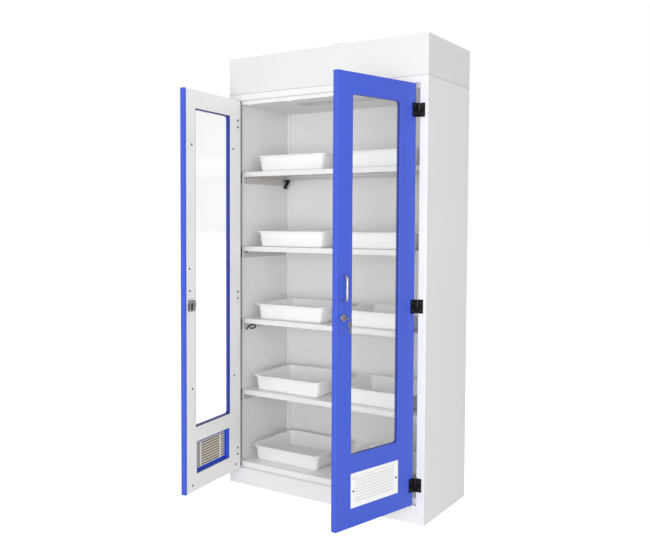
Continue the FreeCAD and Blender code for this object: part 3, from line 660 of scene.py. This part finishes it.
def add_trays(materials):
    # Smooth moulded trays in the places of the plain ones.
    for name in ("left", "right"):
        for level in range(1, TRAY_LEVELS + 1):
            add_tray(f"tray_{name}_{level}", materials)


def add_slot_screen(materials):
    # The screen that shows through the slot in the ceiling, laid on top of the ceiling sheet, in a grey with dark
    # dots that is painted shade in the slot.
    half_x, half_y = [size / 2 + SCREEN_OVERLAP for size in SLOT_SIZE]
    rings = []
    for inset, rise in SCREEN_EDGE:
        z = CEILING_SHEET_TOP + rise
        rings.append(rounded_ring(SLOT_PLACE, half_x - inset, half_y - inset, SCREEN_CORNER, z))
    bm = bmesh.new()
    add_rings(bm, rings)
    add_piece("slot_screen", bm, "carcass", materials["screen"])


def add_louvre_backs(materials):
    # A brown sheet behind the blades, painted shade that shows through their slots, with the beige backs of the
    # blades across it, their unpainted tone darkened with painted shade of the recess, and grey strips of painted
    # shade in the gaps under the blades in front.
    bottom, top = LOUVRE_Z - GRILLE_HEIGHT / 2, LOUVRE_Z + GRILLE_HEIGHT / 2
    pitch = GRILLE_HEIGHT / BLADE_COUNT
    reach = GRILLE_WIDTH / 2 - CLEARANCE
    slot_shade_y = [GRILLE_REAR + depth for depth in SLOT_SHADE_DEPTHS]
    back_y = [GRILLE_REAR + depth for depth in BLADE_BACK_DEPTHS]
    gap_shade_y = [GRILLE_FACE + depth for depth in GAP_SHADE_DEPTHS]
    for name, side in SIDES:
        slot_shade, backs, gap_shades = bmesh.new(), bmesh.new(), bmesh.new()
        for column in GRILLE_COLUMNS:
            x0, x1 = [WINDOW_X + x for x in column]
            add_block(slot_shade, (x0, slot_shade_y[0], bottom + CLEARANCE), (x1, slot_shade_y[1], top - CLEARANCE))
            for row in range(BLADE_COUNT + 1):
                low = bottom + max((row - BLADE_BACK_SHARE) * pitch, CLEARANCE)
                high = min(bottom + (row + BLADE_BACK_SHARE) * pitch, top - CLEARANCE)
                add_block(backs, (x0, back_y[0], low), (x1, back_y[1], high))
        for row in range(1, BLADE_COUNT + 1):
            low, high = [bottom + row * pitch - drop for drop in GAP_SHADE_DROPS]
            add_block(gap_shades, (WINDOW_X - reach, gap_shade_y[0], low), (WINDOW_X + reach, gap_shade_y[1], high))
        for bm in (slot_shade, backs, gap_shades):
            bm.transform(door_matrix(side))
        body = f"{name}_door"
        add_piece(f"louvre_slot_shade_{name}", slot_shade, body, materials["slot_shade"])
        add_piece(f"blade_backs_{name}", backs, body, materials["blade_back"])
        add_piece(f"blade_gap_shades_{name}", gap_shades, body, materials["rail"])


def add_keeper_mouth_shade(materials):
    # A black sheet on the far wall inside the keeper's mouth, painted shade of its deep pocket.
    (front, back), (low, high) = KEEPER_MOUTH_Y, KEEPER_MOUTH_Z
    bm = bmesh.new()
    add_block(bm, (KEEPER_MOUTH_X - KEEPER_SHADE_SHEET, front, low), (KEEPER_MOUTH_X, back, high))
    bm.transform(door_matrix(-1))
    add_piece("keeper_mouth_shade", bm, "left_door", materials["black_plastic"])


def add_header_seam(materials):
    # A grey strip in the joint between the header and the cabinet, a little behind their faces, as painted shade
    # of the groove.
    (outer, inner), (low, high) = SEAM_BEHIND, SEAM_RISE
    rings = []
    for inset, rise in ((outer, low), (outer, high), (inner, high), (inner, low)):
        half_x, half_y = [half - inset for half in BODY_HALF]
        rings.append(rounded_ring((0, 0), half_x, half_y, SEAM_CORNER, BODY_HEIGHT + rise))
    bm = bmesh.new()
    add_rings(bm, rings, looped=True)
    add_piece("header_seam", bm, "carcass", materials["joint"])


def add_uprights(materials):
    # Slotted uprights on the side walls, just in front of the shelves, their dark grey partly their coating and
    # partly painted shade beside the door stiles, with black marks of painted shade in their slots and at the ends
    # of the stop lips on the left side.
    strips, shade_marks = bmesh.new(), bmesh.new()
    for side in (-1, 1):
        wall, face = side * WALL_X, side * (WALL_X - UPRIGHT_SHEET)
        film = face - side * SLOT_FILM
        low, high = UPRIGHT_Y - UPRIGHT_HALF, UPRIGHT_Y + UPRIGHT_HALF
        add_block(strips, (wall, low, DECK_TOP + CLEARANCE), (face, high, CEILING - CLEARANCE))
        low, high = UPRIGHT_Y - SLOT_HALF_WIDTH, UPRIGHT_Y + SLOT_HALF_WIDTH
        for top in shelf_tops():
            add_block(shade_marks, (face, low, top - 2 * SLOT_HALF_HEIGHT), (film, high, top))
    left, right = LIP_SHADE_X - LIP_SHADE_HALF, LIP_SHADE_X + LIP_SHADE_HALF
    for z, half in LIP_END_SHADES:
        add_block(shade_marks, (left, LIP_FACE - LIP_SHADE_DEPTH, z - half), (right, LIP_FACE, z + half))
    add_piece("slotted_uprights", strips, "carcass", materials["upright"])
    add_piece("painted_shade_marks", shade_marks, "carcass", materials["black_plastic"])


def add_corner_beads(materials):
    # Half-round folds down the two rear corners, between one shelf and the next.
    bm = bmesh.new()
    floors = [DECK_TOP] + shelf_tops()
    tops = [top - SHELF_FOLD for top in shelf_tops()] + [CEILING]
    for side in (-1, 1):
        for floor, top in zip(floors, tops):
            rings = []
            for z in (floor + CLEARANCE, top - CLEARANCE):
                ring = []
                for i in range(BEAD_STEPS + 1):
                    angle = math.pi * i / BEAD_STEPS
                    x = side * BEAD_X + BEAD_RADIUS * math.cos(angle)
                    ring.append((x, BEAD_Y - BEAD_RADIUS * math.sin(angle), z))
                rings.append(ring)
            add_rings(bm, rings)
    add_piece("corner_beads", bm, "carcass", materials["white_paint"])


def add_wire(name, points, radius, look, materials):
    bm = bmesh.new()
    tube(bm, smooth_path(points, WIRE_STEPS), radius, WIRE_SIDES, Matrix())
    add_piece(name, bm, "carcass", materials[look])


def add_shelf_fittings(materials):
    # The small black and white fittings under the shelves.
    add_wire("wire_loop", LOOP_PATH, LOOP_WIRE, "black_plastic", materials)
    add_wire("wire_hook", HOOK_PATH, HOOK_WIRE, "white_paint", materials)
    bolts = bmesh.new()
    for place in BOLT_PLACES:
        matrix = Matrix.Translation(place) @ Matrix.Rotation(math.pi, 4, "X")
        add_rings(bolts, turned_rings(BOLT_PROFILE, matrix, BOLT_SIDES))
    add_piece("rail_bolts", bolts, "carcass", materials["black_plastic"])


def add_bow(bm, matrix):
    # The round bow of a key with its hole off the middle, flat in the matrix's X-Y plane.
    loops = (
        (0.0, BOW_RADIUS, KEY_EDGE - KEY_HALF),
        (0.0, BOW_RADIUS, KEY_HALF - KEY_EDGE),
        (0.0, BOW_RADIUS - KEY_EDGE, KEY_HALF),
        (BOW_HOLE_OFFSET, BOW_HOLE + KEY_EDGE, KEY_HALF),
        (BOW_HOLE_OFFSET, BOW_HOLE, KEY_HALF - KEY_EDGE),
        (BOW_HOLE_OFFSET, BOW_HOLE, KEY_EDGE - KEY_HALF),
        (BOW_HOLE_OFFSET, BOW_HOLE + KEY_EDGE, -KEY_HALF),
        (0.0, BOW_RADIUS - KEY_EDGE, -KEY_HALF),
    )
    rings = []
    for offset, radius, z in loops:
        rings.append([matrix @ Vector((radius * x, offset + radius * y, z)) for x, y in circle(ROUND_SIDES)])
    add_rings(bm, rings, looped=True)


def add_blade(bm, matrix, length):
    # The blade of a key from inside its bow along -Y, with its cuts down one edge.
    step = (length - BLADE_START) / (len(BLADE_CUTS) + 2)
    outline = [(-BLADE_HALF, -BLADE_START)]
    outline += [(-BLADE_HALF, BLADE_TIP - length), (BLADE_TIP - BLADE_HALF, -length)]
    for i, cut in enumerate((*BLADE_CUTS, 0.0)):
        outline.append((BLADE_HALF * (1 - cut), step * (i + FIRST_CUT) - length))
    outline.append((BLADE_HALF, -BLADE_START))
    rings = []
    for z in (-KEY_HALF, KEY_HALF):
        rings.append([matrix @ Vector((x, y, z)) for x, y in outline])
    add_rings(bm, rings)


def add_lock_key(materials):
    # The key in the lock lies flat, with its bow out from the door.
    place = Matrix.Translation((HANDLE_X, BOW_Y, LOCK_Z))
    matrix = door_matrix(1) @ place @ Matrix.Rotation(math.pi, 4, "Z")
    bm = bmesh.new()
    add_bow(bm, matrix)
    add_blade(bm, matrix, KEY_LENGTH)
    piece = add_piece("cut_key", bm, "lock", materials["key_brass"])
    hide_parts("key")


def add_spare_key(materials):
    # The spare key hangs from a split ring through the bow of the key in the lock.
    coil = []
    for i in range(RING_STEPS + 1):
        share = i / RING_STEPS
        angle = 2 * math.pi * RING_TURNS * share
        x = HANDLE_X + RING_WIRE * (2 * share - 1)
        y = RING_Y + RING_RADIUS * math.cos(angle)
        z = RING_Z + RING_RADIUS * math.sin(angle)
        coil.append(Vector((x, y, z)))
    bm = bmesh.new()
    tube(bm, coil, RING_WIRE, RING_SIDES, door_matrix(1))
    place = Matrix.Translation((HANDLE_X, RING_Y, SPARE_BOW_Z))
    matrix = door_matrix(1) @ place @ Matrix.Rotation(math.pi / 2, 4, "X")
    add_bow(bm, matrix)
    add_blade(bm, matrix, SPARE_LENGTH)
    piece = add_piece("spare_key_on_ring", bm, "spare_key", materials["key_brass"])
    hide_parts("spare_key")


def hinge_screw_heights():
    return [z + rise for z in HINGE_Z for rise in (-HINGE_SCREW_RISE, HINGE_SCREW_RISE)]


def add_door_screws(materials):
    for name, side in SIDES:
        matrix = door_matrix(side)
        out = matrix.to_3x3() @ Vector((0, -1, 0))
        outer, pale, inner = bmesh.new(), bmesh.new(), bmesh.new()
        for x, z in LOUVRE_SCREWS:
            place = matrix @ Vector((WINDOW_X + x, GRILLE_FACE, LOUVRE_Z + z))
            screw(outer, place, out, LOUVRE_SCREW_RADIUS)
        x, z = PALE_LOUVRE_SCREW
        screw(pale, matrix @ Vector((WINDOW_X + x, GRILLE_FACE, LOUVRE_Z + z)), out, LOUVRE_SCREW_RADIUS)
        handle_screws = [(HANDLE_X, HANDLE_Z + end * HANDLE_SPACING / 2) for end in (-1, 1)]
        for x, z in (*LINER_SCREWS, *handle_screws):
            screw(inner, matrix @ Vector((x, LINER, z)), -out, LINER_SCREW_RADIUS)
        for z in hinge_screw_heights():
            place = matrix @ Vector((HINGE_AXIS_X - HINGE_SCREW_REACH, HINGE_FACE, z))
            screw(outer, place, out, HINGE_SCREW_RADIUS)
            place = matrix @ Vector((HINGE_AXIS_X - INNER_SCREW_REACH, LINER, z))
            screw(inner, place, -out, INNER_SCREW_RADIUS)
        body = f"{name}_door"
        add_piece(f"outer_screws_{name}", outer, body, materials["dark_screw"])
        add_piece(f"pale_screw_{name}", pale, body, materials["rail"])
        add_piece(f"inner_screws_{name}", inner, body, materials["dark_screw"])


def add_frame_screws(materials):
    bm = bmesh.new()
    for side in (-1, 1):
        x = side * (HINGE_AXIS_X + HINGE_SCREW_REACH)
        for z in hinge_screw_heights():
            screw(bm, Vector((x, HINGE_FACE, z)), Vector((0, -1, 0)), HINGE_SCREW_RADIUS)
    add_piece("frame_screws", bm, "carcass", materials["dark_screw"])


def seen_strength(tree, unseen, seen):
    # One strength for the light on the object, another for what shows behind it and through glass.
    path = tree.nodes.new("ShaderNodeLightPath")
    either = tree.nodes.new("ShaderNodeMath")
    either.operation = "MAXIMUM"
    tree.links.new(path.outputs["Is Camera Ray"], either.inputs[0])
    tree.links.new(path.outputs["Is Transmission Ray"], either.inputs[1])
    level = tree.nodes.new("ShaderNodeMapRange")
    level.inputs["To Min"].default_value = unseen
    level.inputs["To Max"].default_value = seen
    tree.links.new(either.outputs["Value"], level.inputs["Value"])
    return level.outputs["Result"]


def add_world():
    world = bpy.data.worlds.new("studio")
    bpy.context.scene.world = world
    world.use_nodes = True
    tree = world.node_tree
    backdrop = tree.nodes["Background"]
    backdrop.inputs["Color"].default_value = (1, 1, 1, 1)
    tree.links.new(seen_strength(tree, WORLD_STRENGTH, 1.0), backdrop.inputs["Strength"])


def add_floor():
    bm = bmesh.new()
    bmesh.ops.create_grid(bm, x_segments=1, y_segments=1, size=FLOOR_SIZE / 2)
    mesh = bpy.data.meshes.new("floor")
    bm.to_mesh(mesh)
    bm.free()
    floor = bpy.data.objects.new("floor", mesh)
    bpy.context.scene.collection.objects.link(floor)
    material, tree, shader = new_material("studio_floor")
    shader.inputs["Base Color"].default_value = (FLOOR_TONE, FLOOR_TONE, FLOOR_TONE, 1)
    shader.inputs["Roughness"].default_value = FLOOR_ROUGHNESS
    shader.inputs["Emission Color"].default_value = (1, 1, 1, 1)
    tree.links.new(seen_strength(tree, 0.0, FLOOR_GLOW), shader.inputs["Emission Strength"])
    mesh.materials.append(material)


def add_lamp(name, place, target, size, power):
    light = bpy.data.lights.new(name, "AREA")
    light.shape = "SQUARE"
    light.size = size
    light.energy = power
    lamp = bpy.data.objects.new(name, light)
    bpy.context.scene.collection.objects.link(lamp)
    lamp.location = place
    lamp.rotation_euler = (Vector(target) - Vector(place)).to_track_quat("-Z", "Y").to_euler()


def add_camera():
    level = Vector((math.cos(CAMERA_YAW), math.sin(CAMERA_YAW), 0))
    ahead = Vector((-math.sin(CAMERA_YAW), math.cos(CAMERA_YAW), 0))
    forward = math.cos(CAMERA_PITCH) * ahead - math.sin(CAMERA_PITCH) * Vector((0, 0, 1))
    upright = level.cross(forward)
    right = math.cos(CAMERA_ROLL) * level + math.sin(CAMERA_ROLL) * upright
    up = math.cos(CAMERA_ROLL) * upright - math.sin(CAMERA_ROLL) * level
    data = bpy.data.cameras.new("camera")
    data.sensor_width = SENSOR
    data.lens = FOCAL_PIXELS * SENSOR / IMAGE_WIDTH
    data.shift_x = (IMAGE_WIDTH / 2 - PRINCIPAL_POINT[0]) / IMAGE_WIDTH
    data.shift_y = (PRINCIPAL_POINT[1] - IMAGE_HEIGHT / 2) / IMAGE_WIDTH
    camera = bpy.data.objects.new("camera", data)
    bpy.context.scene.collection.objects.link(camera)
    turn = Matrix((right, up, -forward)).transposed().to_4x4()
    camera.matrix_world = Matrix.Translation(CAMERA_PLACE) @ turn
    bpy.context.scene.camera = camera


materials = make_materials()
dress_nodes(materials)
add_handles(materials)
add_lock_cover(materials)
add_trays(materials)
add_slot_screen(materials)
add_louvre_backs(materials)
add_keeper_mouth_shade(materials)
add_header_seam(materials)
add_uprights(materials)
add_corner_beads(materials)
add_shelf_fittings(materials)
add_lock_key(materials)
add_spare_key(materials)
add_door_screws(materials)
add_frame_screws(materials)
add_world()
add_floor()
for lamp in LAMPS:
    add_lamp(*lamp)
add_camera()
bpy.context.scene.view_settings.view_transform = "Standard"
